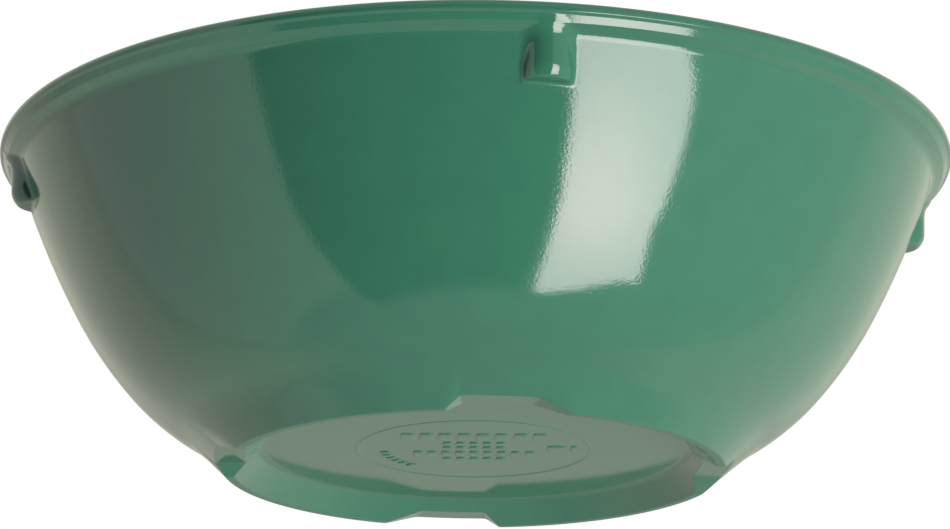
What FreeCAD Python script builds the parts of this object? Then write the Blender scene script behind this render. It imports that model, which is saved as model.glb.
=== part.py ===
"""A round stacking bowl, compression-moulded in one shot of melamine.

Millimetres and degrees, +Z up. The origin is the centre of the circle that
the foot stands on. Four stacking lugs point along -Y, +X, +Y and -X.

A profile is a list of corners (radius, height) in the half plane through the
bowl's axis. A slope is the angle between a surface and the bowl's axis: 0 is
an upright wall and 90 is a level one.
"""

import FreeCAD, Part
import math
import os
import Sketcher

from FreeCAD import Placement, Rotation, Vector

QUARTERS = 4
LUG_NAMES = ("front", "right", "back", "left")
PAD_NAMES = ("front_right", "back_right", "back_left", "front_left")

DRIVING = {
    # Rim.
    "rim_radius": 72.5,
    "rim_widest_height": 47.5,
    "bowl_height": 48.6,
    "lip_band_radius": 72.4,
    "lip_band_top": 46.9,
    "lip_under_radius": 71.3,
    "lip_under_height": 45.7,
    "lip_cove_radius": 2.0,
    "lip_cove_slope": 62.0,
    "lip_outer_round": 1.1,
    "lip_inner_round": 1.2,
    # Wall: three tangent arcs, from the foot up to the rim.
    "wall_thickness": 2.6,
    "wall_start_radius": 44.68,
    "wall_start_height": 6.1,
    "wall_start_slope": 58.4,
    "wall_low_arc": 35.3,
    "wall_low_slope": 41.1,
    "wall_middle_arc": 61.3,
    "wall_middle_slope": 28.2,
    "wall_high_arc": 134.0,
    "wall_high_slope": 19.0,
    # Foot and base.
    "base_recess": 3.44,
    "recess_arc": 2.5,
    "recess_slope": 52.0,
    "crest_inner_radius": 36.5,
    "foot_side_slope": 45.0,
    "foot_blend_arc": 22.8,
    "notch_depth": 1.74,
    # A pad's turns are counted from the start of its long ramp.
    "pad_start_turn": 5.5,
    "pad_long_ramp": 7.9,
    "pad_short_ramp": 3.4,
    "pad_sweep": 73.4,
    # Stacking lugs.
    "lug_centre_radius": 66.9,
    "lug_post_radius": 3.6,
    "lug_bottom": 38.4,
    "lug_edge_round": 0.9,
    # Raised marks under the base.
    "ring_radius": 17.5,
    "ring_width": 0.5,
    "ring_relief": 0.1,
    "mark_relief": 0.2,
    "bar_gap": 0.6,
    "bar_turn": -8.3,
    "bar_arc_radius": 13.6,
    "bar_arc_start": 135.0,
    "bar_arc_step": 7.4,
}

# Each row of blocks: how many, block length, block depth and the row's middle.
BAR_ROWS = ((8, 2.2, 4.0, -8.0), (5, 1.4, 1.6, -3.9), (5, 1.4, 1.6, -1.2), (9, 1.5, 2.6, 2.2),
            (5, 1.4, 1.6, 5.6))

# The blocks that follow an arc, and the two at the side with their centres.
BAR_ARC_COUNT = 6
BAR_ARC_BLOCK = (1.2, 1.4)
BAR_SIDE_BLOCKS = (((12.4, -1.0), (3.0, 3.2)), ((15.0, -1.0), (1.0, 3.2)))


def convex_step(arc, slope_from, slope_to):
    """The step (radius, height) along an arc that bulges away from the axis."""
    first = math.radians(slope_from)
    last = math.radians(slope_to)
    return arc * (math.cos(last) - math.cos(first)), arc * (math.sin(first) - math.sin(last))


def inward(point, slope, depth):
    """The point that lies depth under an outer surface of this slope."""
    angle = math.radians(slope)
    return point[0] - depth * math.cos(angle), point[1] + depth * math.sin(angle)


def moved(point, step, sign=1.0):
    return point[0] + sign * step[0], point[1] + sign * step[1]


def derive(size):
    """Add the corners that follow from the driving dimensions."""
    made = dict(size)

    def keep(name, point):
        made[name + "_radius"] = point[0]
        made[name + "_height"] = point[1]

    thick = size["wall_thickness"]
    start = (size["wall_start_radius"], size["wall_start_height"])
    slopes = [size["wall_start_slope"], size["wall_low_slope"],
              size["wall_middle_slope"], size["wall_high_slope"]]
    arcs = [size["wall_low_arc"], size["wall_middle_arc"], size["wall_high_arc"]]
    corners = [start]
    for arc, slope_from, slope_to in zip(arcs, slopes, slopes[1:]):
        corners.append(moved(corners[-1], convex_step(arc, slope_from, slope_to)))
    names = ("start", "low", "middle", "high")
    for name, point, slope in zip(names, corners, slopes):
        keep("outer_" + name, point)
        keep("inner_" + name, inward(point, slope, thick))
    for name, arc in zip(("low", "middle", "high"), arcs):
        made["inner_" + name + "_arc"] = arc - thick

    # The hollow arc under the lip starts where the wall stops.
    cove = convex_step(size["lip_cove_radius"], size["wall_high_slope"], size["lip_cove_slope"])
    keep("cove_end", moved(corners[-1], cove, -1.0))

    # The inside of the lip goes on straight, then rounds over to the top.
    slope = math.radians(size["wall_high_slope"])
    turn = size["lip_inner_round"]
    inner = (made["inner_high_radius"], made["inner_high_height"])
    centre_height = size["bowl_height"] - turn
    round_height = centre_height + turn * math.sin(slope)
    round_radius = inner[0] + (round_height - inner[1]) * math.tan(slope)
    keep("lip_inside", (round_radius, round_height))
    made["lip_top_inner"] = round_radius + turn * math.cos(slope)
    made["lip_top_outer"] = size["rim_radius"] - size["lip_outer_round"]

    # Foot: a straight side that blends into the wall with a hollow arc.
    blend = convex_step(size["foot_blend_arc"], size["foot_side_slope"], size["wall_start_slope"])
    side_top = moved(start, blend)
    keep("side_top", side_top)
    rise = math.tan(math.radians(size["foot_side_slope"]))
    made["crest_outer_radius"] = side_top[0] - side_top[1] * rise
    made["notch_outer_radius"] = made["crest_outer_radius"] + size["notch_depth"] * rise

    # Recess: a straight slope up from the crest, then an arc level with the base.
    slope = math.radians(size["recess_slope"])
    made["notch_inner_radius"] = size["crest_inner_radius"] - size["notch_depth"] * math.tan(slope)
    corner = size["crest_inner_radius"] - size["base_recess"] * math.tan(slope)
    tangent = size["recess_arc"] * math.tan(0.5 * (0.5 * math.pi - slope))
    made["base_radius"] = corner - tangent
    keep("recess_end", (corner + tangent * math.sin(slope),
                        size["base_recess"] - tangent * math.cos(slope)))

    # Inner floor, and the inner corner arc that runs level into it.
    made["floor_height"] = size["base_recess"] + thick
    start_slope = math.radians(size["wall_start_slope"])
    drop = made["inner_start_height"] - made["floor_height"]
    made["inner_corner_arc"] = drop / (1.0 - math.sin(start_slope))
    made["floor_radius"] = (made["inner_start_radius"]
                            - made["inner_corner_arc"] * math.cos(start_slope))

    # Ramps of the pads, as lengths along the crest circle.
    crest = 0.5 * (size["crest_inner_radius"] + made["crest_outer_radius"])
    made["long_ramp_length"] = crest * math.sin(math.radians(size["pad_long_ramp"]))
    made["short_ramp_length"] = crest * math.sin(math.radians(size["pad_short_ramp"]))

    # Raised marks.
    made["mark_face"] = size["base_recess"] - size["mark_relief"]
    made["ring_face"] = size["base_recess"] - size["ring_relief"]
    made["ring_inner"] = size["ring_radius"] - 0.5 * size["ring_width"]
    made["ring_outer"] = size["ring_radius"] + 0.5 * size["ring_width"]
    return made


def make_sheet(doc, size):
    sheet = doc.addObject("Spreadsheet::Sheet", "Dimensions")
    for row, (name, value) in enumerate(size.items(), start=1):
        sheet.set(f"A{row}", name)
        sheet.set(f"B{row}", f"{value:.6f}")
        sheet.setAlias(f"B{row}", name)
    doc.recompute()
    return sheet


def origin_plane(body, role):
    for feature in body.Origin.OriginFeatures:
        if feature.Role == role:
            return feature
    raise RuntimeError(f"{body.Name} has no {role}")


def new_body(doc, label):
    body = doc.addObject("PartDesign::Body", label)
    body.Label = label
    return body


def new_sketch(body, name, role):
    sketch = body.newObject("Sketcher::SketchObject", f"{body.Name}_{name}")
    sketch.AttachmentSupport = [(origin_plane(body, role), "")]
    sketch.MapMode = "FlatFace"
    return sketch


def arc_edge(start, end, arc):
    """An arc from start to end. A positive arc turns left, a negative one right."""
    chord = end - start
    half = 0.5 * chord.Length
    side = Vector(-chord.y, chord.x, 0.0).normalize()
    reach = math.sqrt(arc * arc - half * half)
    centre = start + chord * 0.5 + side * math.copysign(reach, arc)
    circle = Part.Circle(centre, Vector(0, 0, 1), abs(arc))
    first, last = (start, end) if arc > 0 else (end, start)
    angles = [math.atan2(p.y - centre.y, p.x - centre.x) for p in (first, last)]
    if angles[1] < angles[0]:
        angles[1] += 2.0 * math.pi
    return Part.ArcOfCircle(circle, *angles)


def bind(sketch, constraint, name, cell):
    index = sketch.addConstraint(constraint)
    sketch.renameConstraint(index, name)
    sketch.setExpression(f"Constraints.{name}", f"Dimensions.{cell}")


def draw_profile(sketch, size, corners):
    """Draw a closed outline and bind it to the sheet.

    A corner is (across cell, up cell, arc cell or None, turn). The arc, if
    any, bends the edge that leaves the corner, left for turn 1 and right for
    turn -1. A cell of None puts the corner on the sketch's axis.
    """
    points = [Vector(size[across] if across else 0.0, size[up] if up else 0.0, 0.0)
              for across, up, _, _ in corners]
    ends = []
    for number, (_, _, arc, turn) in enumerate(corners):
        start = points[number]
        end = points[(number + 1) % len(points)]
        if arc is None:
            edge = sketch.addGeometry(Part.LineSegment(start, end))
        else:
            edge = sketch.addGeometry(arc_edge(start, end, turn * size[arc]))
            bind(sketch, Sketcher.Constraint("Radius", edge, size[arc]), f"arc_{number}", arc)
        ends.append((edge, 1, 2) if arc is None or turn > 0 else (edge, 2, 1))
    for number, (across, up, _, _) in enumerate(corners):
        before = ends[number - 1]
        here = ends[number]
        sketch.addConstraint(Sketcher.Constraint("Coincident", before[0], before[2],
                                                 here[0], here[1]))
        for kind, cell, axis, value in (("DistanceX", across, -2, points[number].x),
                                        ("DistanceY", up, -1, points[number].y)):
            if cell is None:
                sketch.addConstraint(Sketcher.Constraint("PointOnObject", here[0], here[1], axis))
            else:
                bind(sketch, Sketcher.Constraint(kind, -1, 1, here[0], here[1], value),
                     f"{kind}_{number}", cell)


def line(across, up):
    return across, up, None, 0


def left_arc(across, up, arc):
    return across, up, arc, 1


def right_arc(across, up, arc):
    return across, up, arc, -1


def revolved(doc, label, size, corners, sweep=None):
    """A body turned about the bowl's axis from an outline in its XZ plane."""
    body = new_body(doc, label)
    sketch = new_sketch(body, "outline", "XZ_Plane")
    draw_profile(sketch, size, corners)
    turned = body.newObject("PartDesign::Revolution", f"{label}_turned")
    turned.Profile = sketch
    turned.ReferenceAxis = (sketch, ["V_Axis"])
    turned.Angle = 360.0
    if sweep:
        turned.setExpression("Angle", f"Dimensions.{sweep}")
    doc.recompute()
    return body


def make_base_disc(doc):
    disc = doc.addObject("Part::Cylinder", "base_disc")
    disc.Label = "base_disc"
    disc.setExpression("Radius", "Dimensions.base_radius")
    disc.setExpression("Height", "Dimensions.wall_thickness")
    disc.setExpression("Placement.Base.z", "Dimensions.base_recess")
    return disc


def make_foot_ring(doc, size):
    """The thick corner between base and wall, down to the notches' floor."""
    return revolved(doc, "foot_ring", size, [
        right_arc("base_radius", "base_recess", "recess_arc"),
        line("recess_end_radius", "recess_end_height"),
        line("notch_inner_radius", "notch_depth"),
        line("notch_outer_radius", "notch_depth"),
        right_arc("side_top_radius", "side_top_height", "foot_blend_arc"),
        line("outer_start_radius", "outer_start_height"),
        right_arc("inner_start_radius", "inner_start_height", "inner_corner_arc"),
        line("floor_radius", "floor_height"),
        line("base_radius", "floor_height"),
    ])


def make_wall(doc, size):
    return revolved(doc, "bowl_wall", size, [
        left_arc("outer_start_radius", "outer_start_height", "wall_low_arc"),
        left_arc("outer_low_radius", "outer_low_height", "wall_middle_arc"),
        left_arc("outer_middle_radius", "outer_middle_height", "wall_high_arc"),
        line("outer_high_radius", "outer_high_height"),
        right_arc("inner_high_radius", "inner_high_height", "inner_high_arc"),
        right_arc("inner_middle_radius", "inner_middle_height", "inner_middle_arc"),
        right_arc("inner_low_radius", "inner_low_height", "inner_low_arc"),
        line("inner_start_radius", "inner_start_height"),
    ])


def make_rim_lip(doc, size):
    return revolved(doc, "rim_lip", size, [
        right_arc("outer_high_radius", "outer_high_height", "lip_cove_radius"),
        line("cove_end_radius", "cove_end_height"),
        line("lip_under_radius", "lip_under_height"),
        line("lip_band_radius", "lip_band_top"),
        left_arc("rim_radius", "rim_widest_height", "lip_outer_round"),
        line("lip_top_outer", "bowl_height"),
        left_arc("lip_top_inner", "bowl_height", "lip_inner_round"),
        line("lip_inside_radius", "lip_inside_height"),
        line("inner_high_radius", "inner_high_height"),
    ])


def cut_ramp(doc, body, size, name, length, sign, turn=None):
    """Slope one end of a pad from its crest up to the notches' floor."""
    sketch = new_sketch(body, name, "YZ_Plane")
    if turn:
        sketch.AttachmentOffset = Placement(Vector(), Rotation(Vector(0, 1, 0), size[turn]))
        sketch.setExpression("AttachmentOffset.Rotation.Angle", f"Dimensions.{turn}")
    points = [Vector(), Vector(sign * size[length], 0, 0), Vector(0, size["notch_depth"], 0)]
    for start, end in zip(points, points[1:] + points[:1]):
        sketch.addGeometry(Part.LineSegment(start, end))
    for edge in range(3):
        sketch.addConstraint(Sketcher.Constraint("Coincident", edge, 2, (edge + 1) % 3, 1))
    sketch.addConstraint(Sketcher.Constraint("Coincident", 0, 1, -1, 1))
    sketch.addConstraint(Sketcher.Constraint("PointOnObject", 0, 2, -1))
    sketch.addConstraint(Sketcher.Constraint("PointOnObject", 2, 1, -2))
    bind(sketch, Sketcher.Constraint("Distance", 0, size[length]), "ramp_length", length)
    bind(sketch, Sketcher.Constraint("Distance", 2, size["notch_depth"]), "ramp_rise",
         "notch_depth")
    doc.recompute()
    before = body.Shape.Volume
    pocket = body.newObject("PartDesign::Pocket", f"{body.Name}_{name}_cut")
    pocket.Profile = sketch
    pocket.Type = "ThroughAll"
    pocket.Reversed = True
    doc.recompute()
    if body.Shape.Volume >= before:
        raise RuntimeError(f"{pocket.Name} cuts nothing")


def make_foot_pad(doc, size, number):
    """One of the four segments that the bowl stands on, ramped at both ends."""
    body = revolved(doc, f"foot_pad_{PAD_NAMES[number]}", size, [
        line("notch_inner_radius", "notch_depth"),
        line("crest_inner_radius", None),
        line("crest_outer_radius", None),
        line("notch_outer_radius", "notch_depth"),
    ], sweep="pad_sweep")
    cut_ramp(doc, body, size, "long_ramp", "long_ramp_length", 1.0)
    cut_ramp(doc, body, size, "short_ramp", "short_ramp_length", -1.0, turn="pad_sweep")
    turn = size["pad_start_turn"] + 90.0 * (number - 1)
    body.Placement = Placement(Vector(), Rotation(Vector(0, 0, 1), turn))
    body.setExpression("Placement.Rotation.Angle",
                       f"Dimensions.pad_start_turn + {90.0 * (number - 1)}")
    return body


def make_lug(doc, size, number):
    """A half-round post under the lip that keeps a stacked bowl from jamming."""
    label = f"stacking_lug_{LUG_NAMES[number]}"
    body = new_body(doc, label)
    plan = new_sketch(body, "plan", "XY_Plane")
    plan.AttachmentOffset = Placement(Vector(0, 0, size["lug_bottom"]), Rotation())
    plan.setExpression("AttachmentOffset.Base.z", "Dimensions.lug_bottom")
    centre = Vector(size["lug_centre_radius"], 0, 0)
    circle = plan.addGeometry(Part.Circle(centre, Vector(0, 0, 1), size["lug_post_radius"]))
    plan.addConstraint(Sketcher.Constraint("PointOnObject", circle, 3, -1))
    bind(plan, Sketcher.Constraint("DistanceX", -1, 1, circle, 3, centre.x), "centre",
         "lug_centre_radius")
    bind(plan, Sketcher.Constraint("Radius", circle, size["lug_post_radius"]), "post",
         "lug_post_radius")
    post = body.newObject("PartDesign::Pad", f"{label}_post")
    post.Profile = plan
    post.setExpression("Length", "Dimensions.rim_widest_height - Dimensions.lug_bottom")
    doc.recompute()
    bottom_edges = [f"Edge{index}" for index, edge in enumerate(post.Shape.Edges, start=1)
                    if edge.CenterOfMass.z < size["lug_bottom"] + 0.1]
    softened = body.newObject("PartDesign::Fillet", f"{label}_edge")
    softened.Base = (post, bottom_edges)
    softened.setExpression("Radius", "Dimensions.lug_edge_round")
    doc.recompute()

    # Clear away what the wall and the lip already fill.
    fit = new_sketch(body, "wall_side", "XZ_Plane")
    draw_profile(fit, size, [
        left_arc("outer_middle_radius", "outer_middle_height", "wall_high_arc"),
        right_arc("outer_high_radius", "outer_high_height", "lip_cove_radius"),
        line("cove_end_radius", "cove_end_height"),
        line("lip_under_radius", "lip_under_height"),
        line("lip_under_radius", "bowl_height"),
        line("floor_radius", "bowl_height"),
        line("floor_radius", "outer_middle_height"),
    ])
    before = softened.Shape.Volume
    groove = body.newObject("PartDesign::Groove", f"{label}_wall_fit")
    groove.Profile = fit
    groove.ReferenceAxis = (fit, ["V_Axis"])
    groove.Angle = 360.0
    doc.recompute()
    if body.Shape.Volume >= before:
        raise RuntimeError(f"{groove.Name} cuts nothing")
    body.Placement = Placement(Vector(), Rotation(Vector(0, 0, 1), 90.0 * (number - 1)))
    return body


def make_base_ring(doc, size):
    """A fine raised circle under the base."""
    return revolved(doc, "base_ring", size, [
        line("ring_inner", "ring_face"),
        line("ring_outer", "ring_face"),
        line("ring_outer", "base_recess"),
        line("ring_inner", "base_recess"),
    ])


def bar_layout(size):
    """Centre x, centre y, turn, length and depth of each raised block."""
    layout = []
    for count, length, depth, up in BAR_ROWS:
        for column in range(count):
            across = (column - 0.5 * (count - 1)) * (length + size["bar_gap"])
            layout.append((across, up, 0.0, length, depth))
    for step in range(BAR_ARC_COUNT):
        turn = size["bar_arc_start"] + step * size["bar_arc_step"]
        angle = math.radians(turn)
        layout.append((size["bar_arc_radius"] * math.cos(angle),
                       size["bar_arc_radius"] * math.sin(angle), turn - 90.0, *BAR_ARC_BLOCK))
    return layout + [(*place, 0.0, *block) for place, block in BAR_SIDE_BLOCKS]


def make_base_bars(doc, size):
    """Plain raised blocks inside the base ring, in rows and along an arc."""
    blocks = []
    for number, (x, y, turn, length, depth) in enumerate(bar_layout(size)):
        block = doc.addObject("Part::Box", f"base_block_{number}")
        rotation = Rotation(Vector(0, 0, 1), turn)
        corner = Vector(x, y, size["mark_face"]) - rotation.multVec(Vector(length, depth, 0) * 0.5)
        block.Placement = Placement(corner, rotation)
        block.Length = length
        block.Width = depth
        block.setExpression("Height", "Dimensions.mark_relief")
        block.setExpression("Placement.Base.z", "Dimensions.mark_face")
        blocks.append(block)
    bars = doc.addObject("Part::Compound", "base_bars")
    bars.Label = "base_bars"
    bars.Links = blocks
    bars.Placement = Placement(Vector(), Rotation(Vector(0, 0, 1), size["bar_turn"]))
    return bars


def check_document(doc, pieces):
    for item in doc.Objects:
        if "Invalid" in item.State or "Error" in item.State:
            raise RuntimeError(f"{item.Name} failed: {item.State}")
    for piece in pieces:
        if piece.Shape.isNull() or not piece.Shape.isValid():
            raise RuntimeError(f"{piece.Label} has no valid shape")


def main():
    size = derive(DRIVING)
    doc = FreeCAD.newDocument("stacking_bowl")
    make_sheet(doc, size)
    pieces = [make_base_disc(doc), make_foot_ring(doc, size), make_wall(doc, size),
              make_rim_lip(doc, size), make_base_ring(doc, size), make_base_bars(doc, size)]
    for number in range(QUARTERS):
        pieces.append(make_foot_pad(doc, size, number))
        pieces.append(make_lug(doc, size, number))
    doc.recompute()
    check_document(doc, pieces)
    os.makedirs("parts", exist_ok=True)
    for piece in pieces:
        piece.Shape.exportStep(f"parts/{piece.Label}.step")
        box = piece.Shape.BoundBox
        print(f"{piece.Label}: {len(piece.Shape.Solids)} solids, {piece.Shape.Volume:.1f} mm3, "
              f"z {box.ZMin:.2f} to {box.ZMax:.2f}")


main()
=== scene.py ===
"""The stacking bowl as it looks: one glossy green melamine moulding.

Every length is in millimetres until a mesh is made, which is in metres. The
bowl's axis is Z and its foot stands on Z = 0.

A profile is a curve of points (radius, height) in the half plane through the
axis. Its heading is the angle in degrees from straight up, turning outward: a
wall that goes up leans out by its heading, a floor that runs outward has
heading 90, and a wall that comes down has 180. The outside of the bowl lies to
the right of the heading, so the outward normal is (cos heading, -sin heading).
"""

import math

import bpy
import numpy as np
from mathutils import Matrix, Vector


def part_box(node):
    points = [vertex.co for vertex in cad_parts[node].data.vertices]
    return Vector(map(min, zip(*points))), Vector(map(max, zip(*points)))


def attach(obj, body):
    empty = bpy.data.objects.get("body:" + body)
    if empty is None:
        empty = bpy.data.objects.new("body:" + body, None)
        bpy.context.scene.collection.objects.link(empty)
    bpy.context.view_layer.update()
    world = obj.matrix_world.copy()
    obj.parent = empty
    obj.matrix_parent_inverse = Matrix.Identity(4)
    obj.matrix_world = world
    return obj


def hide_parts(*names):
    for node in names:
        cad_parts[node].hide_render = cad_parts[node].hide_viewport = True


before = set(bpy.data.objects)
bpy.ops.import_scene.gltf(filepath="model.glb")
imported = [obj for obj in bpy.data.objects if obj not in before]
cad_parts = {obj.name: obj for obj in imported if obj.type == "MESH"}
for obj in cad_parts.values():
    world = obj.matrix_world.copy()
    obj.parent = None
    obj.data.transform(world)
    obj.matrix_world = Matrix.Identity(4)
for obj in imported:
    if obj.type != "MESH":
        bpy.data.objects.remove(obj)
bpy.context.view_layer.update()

MM = 0.001
QUARTERS = 4
LUG_NAMES = ("front", "right", "back", "left")
PAD_NAMES = ("front_right", "back_right", "back_left", "front_left")


# ------------------------------------------------------------------ dimensions

def edge_of(node, end, axis):
    """One side of a CAD node's box, in millimetres: end 0 is low and 1 is high."""
    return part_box(node)[end][axis] / MM


RIM_RADIUS = edge_of("rim_lip", 1, 0)
BOWL_HEIGHT = edge_of("rim_lip", 1, 2)
BASE_RECESS = edge_of("base_disc", 0, 2)
FLOOR_HEIGHT = edge_of("base_disc", 1, 2)
BASE_RADIUS = edge_of("base_disc", 1, 0)
NOTCH_DEPTH = edge_of("foot_ring", 0, 2)
LUG_BOTTOM = edge_of("stacking_lug_front", 0, 2)
MARK_FACE = edge_of("base_bars", 0, 2)
RING_FACE = edge_of("base_ring", 0, 2)
RING_OUTER = edge_of("base_ring", 1, 0)
WALL_THICKNESS = FLOOR_HEIGHT - BASE_RECESS

WALL_START = (44.68, 6.1)
WALL_SLOPES = (58.4, 41.1, 28.2, 19.0)
WALL_ARCS = (35.3, 61.3, 134.0)
WALL_STEPS = (22, 30, 44)

FOOT_BLEND_ARC = 22.8
PAD_SIDE_SLOPE = 45.0
NOTCH_SIDE_SLOPE = 52.0
PAD_ROUNDS = (0.3, 0.5)
NOTCH_ROUNDS = (0.45, 0.6)
RECESS_ARC = 2.5
RECESS_HEADING = 128.0

PAD_START = 5.5
PAD_LONG_RAMP = 7.9
PAD_SHORT_RAMP = 3.4
PAD_SWEEP = 73.4

POST_CENTRE = 66.9
POST_RADIUS = 3.58
POST_LEAN = 0.03
POST_TUCK_HEIGHT = 2.1
POST_TUCK_ARC = 2.24
POST_FLARE_START = 43.2
POST_FLARE_HEIGHT = 2.6
POST_FLARE_ARC = 4.6
POST_FLARE_END = 0.45
POST_ROUND = 0.2
POST_TOP = 46.84
POST_SKIRT = 2.9
# The blend into the wall is this wide at these heights.
BLEND_HEIGHTS = (41.0, 44.8, 46.4)
BLEND_WIDTHS = (0.6, 1.2, 0.5)
LIP_EDGE_HEIGHT = 46.93

RING_WIDTH = 0.5
# Each row of blocks: how many, block length, block depth and the row's middle.
MARK_ROWS = ((8, 2.2, 4.0, -8.0), (5, 1.4, 1.6, -3.9), (5, 1.4, 1.6, -1.2), (9, 1.5, 2.6, 2.2),
             (5, 1.4, 1.6, 5.6))
MARK_GAP = 0.6
MARK_TURN = -8.3
MARK_ARC_COUNT = 6
MARK_ARC_RADIUS = 13.6
MARK_ARC_START = 135.0
MARK_ARC_STEP = 7.4
MARK_ARC_BLOCK = (1.2, 1.4)
MARK_SIDE_BLOCKS = (((12.4, -1.0), (3.0, 3.2)), ((15.0, -1.0), (1.0, 3.2)))

TURN_STEPS = 480
# How far a skin's border sinks into its neighbour, and how deep its hidden back lies.
SINK = 0.003
BACK_DEPTH = 0.3


# -------------------------------------------------------------------- profiles

def normal_at(heading):
    """Outward normal (cos heading, -sin heading) for each heading."""
    angle = np.radians(heading)
    return np.stack([np.cos(angle), -np.sin(angle)], axis=-1)


def along(heading):
    """Unit step (sin heading, cos heading) in the direction of the heading."""
    angle = np.radians(heading)
    return np.stack([np.sin(angle), np.cos(angle)], axis=-1)


def arc_step(radius, heading_from, heading_to):
    """The step along an arc: radius times the change of the outward normal.

    It is taken backwards where the heading grows, because the arc is hollow.
    """
    side = np.where(np.asarray(heading_to) < heading_from, 1.0, -1.0)
    change = normal_at(heading_to) - normal_at(heading_from)
    return radius * side[..., None] * change


def walk(start, heading, moves):
    """A profile made of tangent arcs and straights.

    A move is ("arc", radius, new heading, steps) or ("go", length, steps).
    """
    points = [np.array([start], dtype=float)]
    headings = [np.array([heading], dtype=float)]
    for kind, size, *rest in moves:
        here = points[-1][-1]
        now = headings[-1][-1]
        steps = rest[-1]
        if kind == "arc":
            bends = np.linspace(now, rest[0], steps + 1)[1:]
            points.append(here + arc_step(size, now, bends))
            headings.append(bends)
        else:
            reach = np.linspace(0.0, size, steps + 1)[1:]
            points.append(here + reach[:, None] * along(now))
            headings.append(np.full(steps, now))
    return np.concatenate(points), np.concatenate(headings)


def outer_wall():
    """Three tangent arcs from the foot up to the lip."""
    moves = [("arc", arc, slope, steps)
             for arc, slope, steps in zip(WALL_ARCS, WALL_SLOPES[1:], WALL_STEPS)]
    return walk(WALL_START, WALL_SLOPES[0], moves)


def inside_of(points, headings):
    """The curve a wall thickness inward of a profile, run the other way."""
    normals = normal_at(headings)
    return (points - WALL_THICKNESS * normals)[::-1], headings[::-1] - 180.0


def foot_side_start(slope):
    """Where the straight side of the foot, at this slope, runs into the hollow
    arc that blends it into the wall."""
    return np.array(WALL_START) - arc_step(FOOT_BLEND_ARC, slope, WALL_SLOPES[0])


def foot_profile(level, rounds, side_slope):
    """Underside of the foot from the flat base out to the start of the wall.

    A hollow arc and a straight slope drop from the base. A rounded edge turns
    the slope level at the given height, and a second one turns it up the side.
    """
    inner_round, outer_round = rounds
    start = (BASE_RADIUS, BASE_RECESS)
    corner = arc_step(RECESS_ARC, 90.0, RECESS_HEADING)
    turn = arc_step(inner_round, RECESS_HEADING, 90.0)
    drop = BASE_RECESS + corner[1] + turn[1] - level
    slope_run = float(-drop / along(RECESS_HEADING)[1])
    points, headings = walk(start, 90.0, [
        ("arc", RECESS_ARC, RECESS_HEADING, 16), ("go", slope_run, 10),
        ("arc", inner_round, 90.0, 8)])
    side_start = foot_side_start(side_slope)
    side_normal = normal_at(side_slope)
    turn = arc_step(outer_round, 90.0, side_slope)
    flat = float((side_start - points[-1] - turn) @ side_normal / side_normal[0])
    round_end = points[-1] + (flat, 0.0) + turn
    side = float(np.linalg.norm(side_start - round_end))
    outer_points, outer_headings = walk(points[-1], 90.0, [
        ("go", flat, 6), ("arc", outer_round, side_slope, 8), ("go", side, 8),
        ("arc", FOOT_BLEND_ARC, WALL_SLOPES[0], 12)])
    return (np.concatenate([points, outer_points[1:]]),
            np.concatenate([headings, outer_headings[1:]]))


def lip_profile():
    """Outside and top of the lip, from the end of the wall round to the inside.

    A cove turns out to an underside, then come a band, a crisp edge, a nearly
    upright face and a rounded top. Three sizes take up what is left over: the
    underside for the rim's radius, the face for the bowl's height, and the
    crown's radius so that the inside meets the wall's inner face.
    """
    wall, slopes = outer_wall()
    start = wall[-1]
    slope = slopes[-1]
    under, band, flare, face = 62.0, 35.0, 60.0, 6.0
    shoulder, far_shoulder = -75.0, -108.0
    inside = slope - 180.0
    cove, under_round, flare_round, edge, top, inner = 2.0, 0.4, 0.3, 0.2, 1.15, 1.2
    band_run, flare_run = 1.0, 0.42

    outward = [("arc", cove, under, 16), ("go", 0.0, 8), ("arc", under_round, band, 8),
               ("go", band_run, 6), ("arc", flare_round, flare, 6), ("go", flare_run, 3),
               ("arc", edge, face, 8), ("go", 0.0, 4)]
    fixed, _ = walk(start, slope, outward)
    widest = fixed[-1] + arc_step(top, face, 0.0)
    crown_rise = arc_step(top, face, shoulder)[1]
    crown_unit = arc_step(1.0, shoulder, far_shoulder)
    crown_peak = arc_step(1.0, shoulder, -90.0)[1]
    last = arc_step(inner, far_shoulder, inside)
    inner_wall, _ = inside_of(wall, slopes)
    inner_normal = normal_at(inside)

    # Unknowns: length of the underside, length of the face, radius of the crown.
    system = np.zeros((3, 3))
    wanted = np.zeros(3)
    system[0] = along(under)[0], along(face)[0], 0.0
    wanted[0] = RIM_RADIUS - widest[0]
    system[1] = along(under)[1], along(face)[1], crown_peak
    wanted[1] = BOWL_HEIGHT - fixed[-1][1] - crown_rise
    system[2] = along(under) @ inner_normal, along(face) @ inner_normal, crown_unit @ inner_normal
    after = arc_step(top, face, shoulder) + last
    wanted[2] = (inner_wall[0] - fixed[-1] - after) @ inner_normal
    under_run, face_run, crown = np.linalg.solve(system, wanted)

    outward[1] = ("go", under_run, 8)
    outward[-1] = ("go", face_run, 4)
    points, headings = walk(start, slope, outward + [
        ("arc", top, shoulder, 14), ("arc", crown, far_shoulder, 10), ("arc", inner, inside, 10)])
    down = float(np.linalg.norm(inner_wall[0] - points[-1]))
    rest, rest_headings = walk(points[-1], inside, [("go", down, 6)])
    return (np.concatenate([points, rest[1:]]), np.concatenate([headings, rest_headings[1:]]))


# ---------------------------------------------------------------------- meshes

def make_mesh(name, points, faces, normals=None):
    """A mesh object from points in millimetres, with its own vertex normals."""
    mesh = bpy.data.meshes.new(name)
    mesh.from_pydata((points * MM).tolist(), [], [tuple(face) for face in faces])
    mesh.update()
    mesh.polygons.foreach_set("use_smooth", np.ones(len(mesh.polygons), dtype=bool))
    if normals is not None:
        lengths = np.linalg.norm(normals, axis=1, keepdims=True)
        mesh.normals_split_custom_set_from_vertices((normals / lengths).tolist())
    piece = bpy.data.objects.new(name, mesh)
    bpy.context.scene.collection.objects.link(piece)
    return piece


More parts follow.
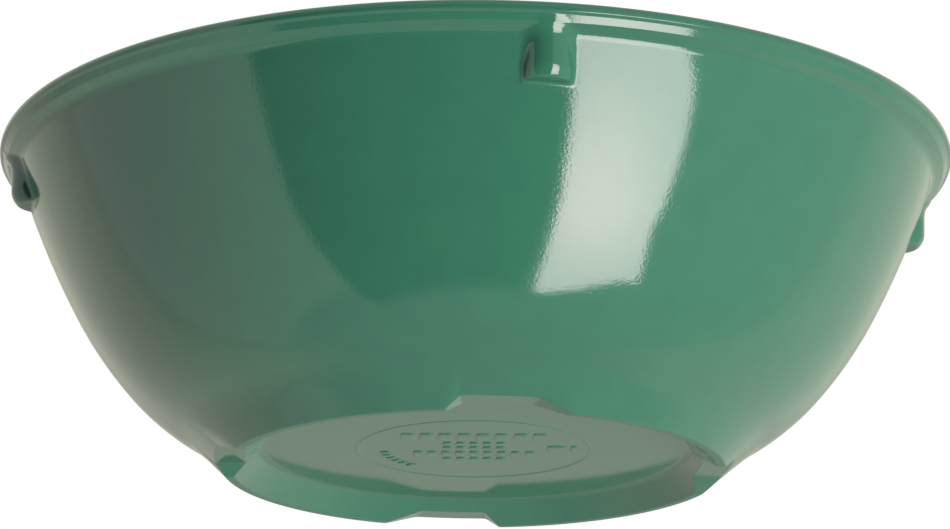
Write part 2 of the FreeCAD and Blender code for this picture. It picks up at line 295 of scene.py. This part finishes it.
def grid_faces(rows, columns, wrap_rows=False, wrap_columns=False):
    """Quads over a grid of vertices numbered row by row.

    The first side of each quad runs along its row, so a face points along
    (step along the row) x (step to the next row).
    """
    row = np.arange(rows if wrap_rows else rows - 1)
    column = np.arange(columns if wrap_columns else columns - 1)
    row, column = np.meshgrid(row, column, indexing="ij")
    next_row = (row + 1) % rows
    next_column = (column + 1) % columns
    quads = np.stack([row * columns + column, row * columns + next_column,
                      next_row * columns + next_column, next_row * columns + column], axis=-1)
    return quads.reshape(-1, 4)


def turned(name, points, headings, closed=True):
    """A body turned about Z: each outline point (r, z) goes to
    (r sin a, -r cos a, z) for a all the way round.

    A closed outline makes a ring. An open one starts and ends on the axis.
    """
    angle = np.linspace(0.0, 2.0 * np.pi, TURN_STEPS, endpoint=False)
    normals = normal_at(headings)
    radial = np.stack([np.sin(angle), -np.cos(angle)], axis=-1)
    count = len(points)

    def spin(values):
        flat = values[:, None, :1] * radial[None]
        level = np.broadcast_to(values[:, None, 1:], (len(values), TURN_STEPS, 1))
        return np.concatenate([flat, level], axis=-1).reshape(-1, 3)

    if closed:
        faces = grid_faces(count, TURN_STEPS, wrap_rows=True, wrap_columns=True)
        return make_mesh(name, spin(points), faces, spin(normals))
    body = spin(points[1:-1])
    poles = np.array([[0.0, 0.0, points[0][1]], [0.0, 0.0, points[-1][1]]])
    pole_normals = np.array([[0.0, 0.0, -1.0], [0.0, 0.0, 1.0]])
    faces = grid_faces(count - 2, TURN_STEPS, wrap_columns=True).tolist()
    here = np.arange(TURN_STEPS)
    after = (here + 1) % TURN_STEPS
    first, last = len(body), len(body) + 1
    top = (count - 3) * TURN_STEPS
    faces += np.stack([np.full_like(here, first), after, here], axis=-1).tolist()
    faces += np.stack([np.full_like(here, last), top + here, top + after], axis=-1).tolist()
    return make_mesh(name, np.concatenate([body, poles]), faces,
                     np.concatenate([spin(normals[1:-1]), pole_normals]))


def outline(*curves):
    """One outline from several (points, headings) curves, end to end."""
    return (np.concatenate([points for points, _ in curves]),
            np.concatenate([headings for _, headings in curves]))


def pillow(name, front, normals, back):
    """A closed skin from two grids of points that share their outer border."""
    rows, columns = front.shape[:2]
    inner = np.zeros((rows, columns), dtype=bool)
    inner[1:-1, 1:-1] = True
    index = np.arange(rows * columns).reshape(rows, columns)
    back_index = index.copy()
    back_index[inner] = rows * columns + np.arange(inner.sum())
    faces = grid_faces(rows, columns)
    under = back_index.reshape(-1)[faces][:, ::-1]
    points = np.concatenate([front.reshape(-1, 3), back[inner]])
    all_normals = np.concatenate([normals.reshape(-1, 3), -normals[inner]])
    return make_mesh(name, points, np.concatenate([faces, under]), all_normals)


def quarter_turned(values, number):
    """Points or normals turned by a number of right angles about Z."""
    x, y, z = np.moveaxis(values, -1, 0)
    for _ in range(number):
        x, y = -y, x
    return np.stack([x, y, z], axis=-1)


def border_fade(rows, columns, width):
    """0 on a grid's border and 1 from width cells inward."""
    row = np.minimum(np.arange(rows), np.arange(rows)[::-1])[:, None]
    column = np.minimum(np.arange(columns), np.arange(columns)[::-1])[None]
    return np.clip(np.minimum(row, column) / width, 0.0, 1.0)


# ---------------------------------------------------------------------- pieces

def make_base_disc():
    """A flat plate: level underside, upright rim and level top."""
    rings = 12
    radii = np.linspace(0.0, BASE_RADIUS, rings)
    under = np.stack([radii, np.full(rings, BASE_RECESS)], axis=-1)
    over = np.stack([radii[::-1], np.full(rings, FLOOR_HEIGHT)], axis=-1)
    points, headings = outline((under, np.full(rings, 90.0)), (over, np.full(rings, -90.0)))
    return turned("base_disc_visual", points, headings, closed=False)


def make_foot_ring():
    """The thick corner, with the notches' profile all the way round."""
    under = foot_profile(NOTCH_DEPTH, NOTCH_ROUNDS, NOTCH_SIDE_SLOPE)
    wall, slopes = outer_wall()
    inner_wall, _ = inside_of(wall, slopes)
    start = inner_wall[-1]
    heading = WALL_SLOPES[0] - 180.0
    corner_arc = (start[1] - FLOOR_HEIGHT) / (1.0 - math.sin(math.radians(WALL_SLOPES[0])))
    corner, corner_headings = walk(start, heading, [("arc", corner_arc, -90.0, 24)])
    flat = float(corner[-1][0] - BASE_RADIUS)
    floor, floor_headings = walk(corner[-1], -90.0, [("go", flat, 3)])
    points, headings = outline(under, (corner, corner_headings),
                               (floor[1:], floor_headings[1:]))
    return turned("foot_ring_visual", points, headings)


def make_wall():
    wall = outer_wall()
    points, headings = outline(wall, inside_of(*wall))
    return turned("bowl_wall_visual", points, headings)


def make_lip():
    points, headings = lip_profile()
    return turned("rim_lip_visual", points, headings)


def soft_ramp(share):
    """0 before share 0 and 1 after share 1, straight between, with soft ends."""
    soft = 0.09

    def rise(value):
        return 0.5 * (value + np.sqrt(value * value + soft * soft))

    return rise(share) - rise(share - 1.0)


def make_foot_pad(number):
    """One foot segment: the notch's profile changed into the pad's, point by
    point, by a weight that ramps up and down along the circle."""
    low, low_headings = foot_profile(NOTCH_DEPTH, NOTCH_ROUNDS, NOTCH_SIDE_SLOPE)
    full, _ = foot_profile(0.0, PAD_ROUNDS, PAD_SIDE_SLOPE)
    end = PAD_START + PAD_SWEEP
    margin = 2.4
    angle = np.concatenate([
        np.linspace(PAD_START - margin, PAD_START + PAD_LONG_RAMP + margin, 44, endpoint=False),
        np.linspace(PAD_START + PAD_LONG_RAMP + margin, end - PAD_SHORT_RAMP - margin, 50,
                    endpoint=False),
        np.linspace(end - PAD_SHORT_RAMP - margin, end + margin, 40)])

    def surface(turn):
        weight = (soft_ramp((turn - PAD_START) / PAD_LONG_RAMP)
                  * soft_ramp((end - turn) / PAD_SHORT_RAMP))
        profile = low[:, None] + weight[None, :, None] * (full - low)[:, None]
        across = np.radians(turn)[None]
        return np.stack([profile[..., 0] * np.sin(across), -profile[..., 0] * np.cos(across),
                         profile[..., 1]], axis=-1)

    front = surface(angle)
    step = 0.01
    round_step = surface(angle + step) - surface(angle - step)
    normals = np.cross(round_step, np.gradient(front, axis=0))
    normals /= np.linalg.norm(normals, axis=-1, keepdims=True)

    ring_normal = normal_at(low_headings)
    across = np.radians(angle)[None]
    plain = np.stack([ring_normal[:, :1] * np.sin(across), -ring_normal[:, :1] * np.cos(across),
                      np.broadcast_to(ring_normal[:, 1:], front.shape[:2])], axis=-1)
    fade = border_fade(*front.shape[:2], 3)[..., None]
    normals = fade * normals + (1.0 - fade) * plain
    front = front + plain * SINK * (2.0 * fade - 1.0)
    low_ring = np.stack([low[:, :1] * np.sin(across), -low[:, :1] * np.cos(across),
                         np.broadcast_to(low[:, 1:], front.shape[:2])], axis=-1)
    back = np.where(fade > 0.0, low_ring - BACK_DEPTH * plain, front)
    return pillow(f"foot_pad_{PAD_NAMES[number]}_visual", quarter_turned(front, number),
                  quarter_turned(normals, number), quarter_turned(back, number))


def smooth_min(first, second, blend):
    """The smaller of two distances, rounded where they differ by less than blend."""
    mix = np.clip(blend - np.abs(first - second), 0.0, None) / blend
    return np.minimum(first, second) - 0.25 * blend * mix * mix


def make_lug(number):
    """A half-round post blended into wall and lip.

    The surface is where the smooth union of two distances is zero: one from
    the turned wall, the other from an upright post with a rounded bottom edge.
    Every point is found on a ray from inside the wall by halving. The rays fan
    down under the post and are level above it.
    """
    wall_points, wall_headings = outer_wall()
    lip_points, lip_headings = lip_profile()
    band_end = np.argmax(lip_points[:, 1] > LIP_EDGE_HEIGHT)
    points = np.concatenate([wall_points, lip_points[1:band_end]])
    radii, heights = points[:, 0], points[:, 1]
    slopes = np.concatenate([wall_headings, lip_headings[1:band_end]])

    def wall_distance(x, y, z):
        lean = np.cos(np.radians(np.interp(z, heights, slopes)))
        return (np.hypot(x, y) - np.interp(z, heights, radii)) * lean

    def post_distance(x, y, z):
        rise = z - LUG_BOTTOM
        tuck = np.clip(POST_TUCK_HEIGHT - rise, 0.0, None) ** 2 / (2.0 * POST_TUCK_ARC)
        curved = np.clip(z - POST_FLARE_START, 0.0, POST_FLARE_HEIGHT)
        straight = np.clip(z - POST_FLARE_START - POST_FLARE_HEIGHT, 0.0, None)
        flare = curved ** 2 / (2.0 * POST_FLARE_ARC) + POST_FLARE_END * straight
        side = np.hypot(x, y - POST_CENTRE + tuck - flare) - POST_RADIUS - POST_LEAN * rise
        return -smooth_min(-side, rise, 2.0 * POST_ROUND)

    def union_distance(x, y, z):
        blend = np.interp(z, BLEND_HEIGHTS, BLEND_WIDTHS)
        return smooth_min(wall_distance(x, y, z), post_distance(x, y, z), blend)

    sweep = np.radians(np.linspace(-90.0, 90.0, 65))
    skirt = np.linspace(0.0, POST_SKIRT, 41)[1:]
    x = np.concatenate([-POST_RADIUS - skirt[::-1], POST_RADIUS * np.sin(sweep),
                        POST_RADIUS + skirt])
    origin_y, origin_z, longest = 66.0, 41.5, 8.0
    fan = np.radians(np.linspace(-84.0, 0.0, 64))
    level = np.linspace(origin_z, POST_TOP, 70)[1:]
    start_z = np.concatenate([np.full(len(fan), origin_z), level])[:, None]
    aim = np.concatenate([fan, np.zeros(len(level))])[:, None]
    x = np.broadcast_to(x[None], (len(aim), len(x)))

    def at(reach):
        return x, origin_y + reach * np.cos(aim), start_z + reach * np.sin(aim)

    def solve(distance):
        near = np.zeros(x.shape)
        far = np.full(x.shape, longest)
        for _ in range(40):
            middle = 0.5 * (near + far)
            outside = distance(*at(middle)) > 0.0
            far = np.where(outside, middle, far)
            near = np.where(outside, near, middle)
        return 0.5 * (near + far)

    reach = solve(union_distance)
    wall_reach = solve(wall_distance)
    fade = border_fade(*reach.shape, 2)
    reach = reach + SINK * (2.0 * fade - 1.0)
    px, py, pz = at(reach)
    step = 0.1
    normals = np.stack([
        union_distance(px + step, py, pz) - union_distance(px - step, py, pz),
        union_distance(px, py + step, pz) - union_distance(px, py - step, pz),
        union_distance(px, py, pz + step) - union_distance(px, py, pz - step)], axis=-1)
    normals /= np.linalg.norm(normals, axis=-1, keepdims=True)
    bx, by, bz = at(np.where(fade > 0.0, wall_reach - BACK_DEPTH, reach))

    def placed(a, b, c):
        return quarter_turned(np.stack([a, -b, c], axis=-1), number)

    front = placed(px, py, pz)
    front_normals = placed(normals[..., 0], normals[..., 1], normals[..., 2])
    return pillow(f"stacking_lug_{LUG_NAMES[number]}_visual", front, front_normals,
                  placed(bx, by, bz))


def make_base_ring():
    """A fine raised circle with rounded shoulders: its drop below the base is
    the relief times the square root of (1 - share to the power 4)."""
    middle = RING_OUTER - 0.5 * RING_WIDTH
    tuck, lean = 0.02, 55.0
    share = np.linspace(-1.0, 1.0, 13)
    drop = (BASE_RECESS - RING_FACE) * np.sqrt(np.clip(1.0 - share ** 4, 0.0, 1.0))
    points = np.stack([middle + 0.5 * RING_WIDTH * share, BASE_RECESS + tuck - drop], axis=-1)
    headings = 90.0 - lean * share ** 3
    return turned("base_ring_visual", points, headings)


def mark_blocks():
    """Centre x, centre y, turn in degrees, length and depth of each block."""
    blocks = []
    for count, length, depth, up in MARK_ROWS:
        for column in range(count):
            across = (column - 0.5 * (count - 1)) * (length + MARK_GAP)
            blocks.append((across, up, 0.0, length, depth))
    for step in range(MARK_ARC_COUNT):
        turn = MARK_ARC_START + step * MARK_ARC_STEP
        angle = math.radians(turn)
        blocks.append((MARK_ARC_RADIUS * math.cos(angle), MARK_ARC_RADIUS * math.sin(angle),
                       turn - 90.0, *MARK_ARC_BLOCK))
    return blocks + [(*place, 0.0, *size) for place, size in MARK_SIDE_BLOCKS]


def make_base_bars():
    """Plain raised blocks, each a low dome with a square-shouldered outline.

    A block's outline and its height both follow a power curve: at share s of
    the way from the centre to the edge it stands (1 - s^6)^(1/2) of the relief.
    """
    rings, spokes = 8, 32
    tuck, root = 0.01, 0.2
    share = np.sin(np.linspace(0.0, 0.5 * np.pi, rings + 1))[1:, None]
    angle = np.linspace(0.0, 2.0 * np.pi, spokes, endpoint=False)[None]
    corner = 6.0
    reach = (np.abs(np.cos(angle)) ** corner + np.abs(np.sin(angle)) ** corner) ** (-1.0 / corner)
    unit_x = share * reach * np.cos(angle)
    unit_y = share * reach * np.sin(angle)
    drop = (BASE_RECESS - MARK_FACE) * np.sqrt(1.0 - share ** 6) * np.ones_like(unit_x)
    points, faces = [], []
    for x, y, turn, length, depth in mark_blocks():
        turn = math.radians(turn)
        flat_x = 0.5 * length * unit_x
        flat_y = 0.5 * depth * unit_y
        place_x = x + flat_x * math.cos(turn) - flat_y * math.sin(turn)
        place_y = y + flat_x * math.sin(turn) + flat_y * math.cos(turn)
        first = len(points) * (rings * spokes + 2)
        skin = np.stack([place_x, place_y, BASE_RECESS + tuck - drop], axis=-1).reshape(-1, 3)
        ends = np.array([[x, y, MARK_FACE + tuck], [x, y, BASE_RECESS + root]])
        points.append(np.concatenate([skin, ends]))
        here = np.arange(spokes)
        after = (here + 1) % spokes
        edge = (rings - 1) * spokes
        low, high = rings * spokes, rings * spokes + 1
        faces += (grid_faces(rings, spokes, wrap_columns=True) + first).tolist()
        faces += (np.stack([np.full_like(here, low), after, here], axis=-1) + first).tolist()
        faces += (np.stack([np.full_like(here, high), edge + here, edge + after], axis=-1)
                  + first).tolist()
    points = np.concatenate(points)
    angle = math.radians(MARK_TURN)
    x, y = points[:, 0].copy(), points[:, 1].copy()
    points[:, 0] = x * math.cos(angle) - y * math.sin(angle)
    points[:, 1] = x * math.sin(angle) + y * math.cos(angle)
    return make_mesh("base_bars_visual", points, faces)


# ------------------------------------------------------------------- materials

def linear(colour):
    """An sRGB hex colour as linear red, green, blue and alpha."""
    parts = [int(colour[place:place + 2], 16) / 255.0 for place in (1, 3, 5)]
    turned_parts = [part / 12.92 if part <= 0.04045 else ((part + 0.055) / 1.055) ** 2.4
                    for part in parts]
    return (*turned_parts, 1.0)


def add(tree, kind, settings=None, **inputs):
    """Add a node, set its properties, then set or link its inputs by name."""
    node = tree.nodes.new(kind)
    for name, value in (settings or {}).items():
        setattr(node, name, value)
    for name, value in inputs.items():
        key = int(name[1:]) if name[0] == "_" and name[1:].isdigit() else name.replace("_", " ")
        socket = node.inputs[key]
        if isinstance(value, bpy.types.NodeSocket):
            tree.links.new(value, socket)
        else:
            socket.default_value = value
    return node


def new_material(name):
    material = bpy.data.materials.new(name)
    material.use_nodes = True
    material.node_tree.nodes.clear()
    return material, material.node_tree


def moulded_melamine():
    """Melamine resin with a cellulose filler, pressed hot in polished steel.

    That gives an even, deep, slightly mottled colour and a hard gloss with the
    faintest orange peel, and the foot's crest is dulled where it slides. The
    grain is 0.4 mm wide, coarser than the filler's own, so that it shows.
    """
    material, tree = new_material("Moulded melamine, polished mould")
    place = add(tree, "ShaderNodeTexCoord").outputs["Object"]
    mottle = add(tree, "ShaderNodeTexNoise", Vector=place, Scale=220.0, Detail=3.0,
                 Roughness=0.55)
    grain = add(tree, "ShaderNodeTexNoise", Vector=place, Scale=2600.0, Detail=2.0)
    blend = add(tree, "ShaderNodeMapRange", Value=mottle.outputs["Fac"], From_Min=0.35,
                From_Max=0.65)
    colour = add(tree, "ShaderNodeMix", {"data_type": "RGBA"}, Factor=blend.outputs["Result"],
                 _6=linear("#39785F"), _7=linear("#3B7B61"))
    peel = add(tree, "ShaderNodeBump", Height=mottle.outputs["Fac"], Strength=0.02,
               Distance=0.0004)
    fine = add(tree, "ShaderNodeBump", Height=grain.outputs["Fac"], Strength=0.4,
               Distance=0.00002, Normal=peel.outputs["Normal"])
    height = add(tree, "ShaderNodeSeparateXYZ", Vector=place)
    worn = add(tree, "ShaderNodeMapRange", Value=height.outputs["Z"], From_Min=0.00025,
               From_Max=0.00005, To_Min=0.07, To_Max=0.35)
    shader = add(tree, "ShaderNodeBsdfPrincipled", Base_Color=colour.outputs[2],
                 Roughness=worn.outputs["Result"], IOR=1.6, Normal=fine.outputs["Normal"])
    out = add(tree, "ShaderNodeOutputMaterial", Surface=shader.outputs["BSDF"])
    out.is_active_output = True
    return material


# --------------------------------------------------------------- studio, camera

CAMERA_TURN = -8.3
CAMERA_REACH = 548.3
CAMERA_HEIGHT = -132.4
CAMERA_PITCH = 16.74
CAMERA_ROLL = 0.3
CAMERA_LENS = 142.35


def studio_direction(turn, rise):
    """Unit vector at a turn to the right of the camera's side and a rise, both
    in degrees."""
    turn = math.radians(turn + CAMERA_TURN)
    rise = math.radians(rise)
    return np.array([math.sin(turn) * math.cos(rise), -math.cos(turn) * math.cos(rise),
                     math.sin(rise)])


def make_camera():
    data = bpy.data.cameras.new("Camera")
    data.sensor_width = 36.0
    data.lens = CAMERA_LENS
    data.clip_start = 0.01
    camera = bpy.data.objects.new("Camera", data)
    bpy.context.scene.collection.objects.link(camera)
    turn = math.radians(CAMERA_TURN)
    level = Matrix.Rotation(turn, 4, "Z") @ Matrix.Rotation(math.radians(90.0 + CAMERA_PITCH), 4, "X")
    roll = Matrix.Rotation(math.radians(CAMERA_ROLL), 4, "Z")
    camera.rotation_euler = (level @ roll).to_euler("XYZ")
    camera.location = (math.sin(turn) * CAMERA_REACH * MM, -math.cos(turn) * CAMERA_REACH * MM,
                       CAMERA_HEIGHT * MM)
    bpy.context.scene.camera = camera


def between(tree, value, low, high, soft):
    """1 between low and high, 0 outside, with a soft edge at each end."""
    rising = add(tree, "ShaderNodeMapRange", {"interpolation_type": "SMOOTHSTEP"}, Value=value,
                 From_Min=low - soft, From_Max=low + soft)
    falling = add(tree, "ShaderNodeMapRange", {"interpolation_type": "SMOOTHSTEP"}, Value=value,
                  From_Min=high + soft, From_Max=high - soft)
    return add(tree, "ShaderNodeMath", {"operation": "MULTIPLY"}, _0=rising.outputs["Result"],
               _1=falling.outputs["Result"]).outputs[0]


def make_room():
    """Soft surroundings: even grey cards, a dark gap in front, warm behind."""
    world = bpy.data.worlds.new("Studio")
    bpy.context.scene.world = world
    world.use_nodes = True
    tree = world.node_tree
    tree.nodes.clear()
    way = add(tree, "ShaderNodeTexCoord").outputs["Generated"]
    facing = add(tree, "ShaderNodeMapping", {"vector_type": "POINT"}, Vector=way,
                 Rotation=(0.0, 0.0, math.radians(-CAMERA_TURN)))
    parts = add(tree, "ShaderNodeSeparateXYZ", Vector=facing.outputs["Vector"])
    back = add(tree, "ShaderNodeMath", {"operation": "MULTIPLY"}, _0=parts.outputs["Y"], _1=-1.0)
    turn = add(tree, "ShaderNodeMath", {"operation": "ARCTAN2"}, _0=parts.outputs["X"],
               _1=back.outputs[0]).outputs[0]
    rise = add(tree, "ShaderNodeMath", {"operation": "ARCSINE"},
               _0=parts.outputs["Z"]).outputs[0]
    degree = math.radians(1.0)

    def card(colour_before, turns, rises, soft, colour):
        wide = between(tree, turn, turns[0] * degree, turns[1] * degree, soft[0] * degree)
        tall = between(tree, rise, rises[0] * degree, rises[1] * degree, soft[1] * degree)
        share = add(tree, "ShaderNodeMath", {"operation": "MULTIPLY"}, _0=wide, _1=tall)
        mixed = add(tree, "ShaderNodeMix", {"data_type": "RGBA"}, Factor=share.outputs[0],
                    _6=colour_before, _7=colour)
        return mixed.outputs[2]

    def grey(level, warmth=0.0):
        return (level * (1.0 + warmth), level, level * (1.0 - warmth), 1.0)

    room = card(grey(0.55), (-400.0, -115.0), (-60.0, 60.0), (10.0, 10.0),
                (0.80, 0.77, 0.65, 1.0))
    room = card(room, (115.0, 400.0), (-60.0, 60.0), (10.0, 10.0), (0.84, 0.80, 0.68, 1.0))
    for turns in ((-400.0, -163.0), (163.0, 400.0)):
        room = card(room, turns, (-60.0, 60.0), (6.0, 10.0), (0.54, 0.51, 0.45, 1.0))
    room = card(room, (-115.0, -56.0), (-56.0, 80.0), (1.2, 3.0), grey(0.8, 0.03))
    room = card(room, (-56.0, 24.0), (-65.0, 35.0), (1.2, 4.0), grey(0.06))
    path = add(tree, "ShaderNodeLightPath")
    level = add(tree, "ShaderNodeMapRange", Value=path.outputs["Is Diffuse Ray"], To_Min=1.0,
                To_Max=0.4)
    dimmed = add(tree, "ShaderNodeVectorMath", {"operation": "SCALE"}, _0=room,
                 Scale=level.outputs["Result"])
    colour = add(tree, "ShaderNodeMix", {"data_type": "RGBA"}, Factor=path.outputs["Is Camera Ray"],
                 _6=dimmed.outputs["Vector"], _7=(1.0, 1.0, 1.0, 1.0))
    background = add(tree, "ShaderNodeBackground", Color=colour.outputs[2], Strength=1.0)
    add(tree, "ShaderNodeOutputWorld", Surface=background.outputs["Background"])


def softbox_cloth(hot_spot):
    """Diffusing cloth, brightest and warmest in front of the lamp."""
    material, tree = new_material("Softbox diffusing cloth")
    place = add(tree, "ShaderNodeTexCoord").outputs["Object"]
    away = add(tree, "ShaderNodeVectorMath", {"operation": "DISTANCE"}, _0=place,
               _1=tuple(hot_spot)).outputs["Value"]
    share = add(tree, "ShaderNodeMapRange", {"interpolation_type": "SMOOTHSTEP"}, Value=away,
                From_Min=0.05, From_Max=0.5)
    colour = add(tree, "ShaderNodeMix", {"data_type": "RGBA"}, Factor=share.outputs["Result"],
                 _6=linear("#FFECEA"), _7=linear("#D8CFD0"))
    light = add(tree, "ShaderNodeEmission", Color=colour.outputs[2], Strength=10.2)
    add(tree, "ShaderNodeOutputMaterial", Surface=light.outputs["Emission"])
    return material


SOFTBOX_REACH = 1200.0
# Each corner is (turn, rise) as the bowl's front sees it.
SOFTBOX_CORNERS = ((22.0, -10.0), (44.0, -9.0), (51.0, -11.5), (55.5, -16.5), (57.3, -23.0),
                   (57.5, -38.0), (67.0, -51.0), (60.0, -53.5), (34.0, -64.5), (29.5, -65.0),
                   (27.0, -61.0), (24.6, -28.0))
SOFTBOX_HOT_SPOT = (37.0, -38.0)
SOFTBOX_CENTRE = (18.0, -55.0, 32.0)


def make_softbox():
    """The large softbox low on the right, whose mirror image is on the wall."""
    centre = np.array(SOFTBOX_CENTRE)
    points = np.array([centre + SOFTBOX_REACH * studio_direction(*place)
                       for place in SOFTBOX_CORNERS])
    panel = make_mesh("softbox", points, [tuple(range(len(points)))])
    hot_spot = (centre + SOFTBOX_REACH * studio_direction(*SOFTBOX_HOT_SPOT)) * MM
    panel.data.materials.append(softbox_cloth(hot_spot))
    panel.visible_camera = False
    panel.visible_diffuse = False
    panel.visible_shadow = False


def aim_light(name, size, energy, place):
    """An area light at a place in metres that faces the bowl and isn't mirrored."""
    data = bpy.data.lights.new(name, "AREA")
    data.shape = "SQUARE"
    data.size = size
    data.energy = energy
    light = bpy.data.objects.new(name, data)
    bpy.context.scene.collection.objects.link(light)
    light.location = place
    light.rotation_euler = (-Vector(place)).to_track_quat("-Z", "Y").to_euler()
    light.visible_camera = False
    light.visible_glossy = False


def make_lights():
    """The softbox's share of even light, and a light above for the inside."""
    aim_light("key", size=0.5, energy=15.3, place=1.2 * studio_direction(42.0, -23.0))
    aim_light("overhead", size=0.8, energy=13.0, place=(-0.25, 0.35, 1.1))


def make_floor():
    """A pale table top that shows only from above."""
    half = 6000.0
    drop = -0.02
    points = np.array([[-half, -half, drop], [half, -half, drop], [half, half, drop],
                       [-half, half, drop]])
    floor = make_mesh("floor", points, [(0, 1, 2, 3)])
    material, tree = new_material("Pale table top")
    top = add(tree, "ShaderNodeBsdfDiffuse", Color=linear("#F4F4F2"))
    clear = add(tree, "ShaderNodeBsdfTransparent")
    side = add(tree, "ShaderNodeNewGeometry").outputs["Backfacing"]
    mixed = add(tree, "ShaderNodeMixShader", Fac=side, _1=top.outputs["BSDF"],
                _2=clear.outputs["BSDF"])
    add(tree, "ShaderNodeOutputMaterial", Surface=mixed.outputs["Shader"])
    floor.data.materials.append(material)
    floor.visible_diffuse = False
    floor.visible_glossy = False
    floor.visible_transmission = False
    floor.visible_shadow = False


# ------------------------------------------------------------------------ build

make_camera()
make_room()
make_softbox()
make_floor()
make_lights()

melamine = moulded_melamine()
pieces = {
    "base_disc": make_base_disc(),
    "foot_ring": make_foot_ring(),
    "bowl_wall": make_wall(),
    "rim_lip": make_lip(),
    "base_ring": make_base_ring(),
    "base_bars": make_base_bars(),
}
for number in range(QUARTERS):
    pieces[f"foot_pad_{PAD_NAMES[number]}"] = make_foot_pad(number)
    pieces[f"stacking_lug_{LUG_NAMES[number]}"] = make_lug(number)
for node, piece in pieces.items():
    piece.data.materials.append(melamine)
    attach(piece, "root")
    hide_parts(node)

bpy.context.scene.view_settings.view_transform = "Standard"
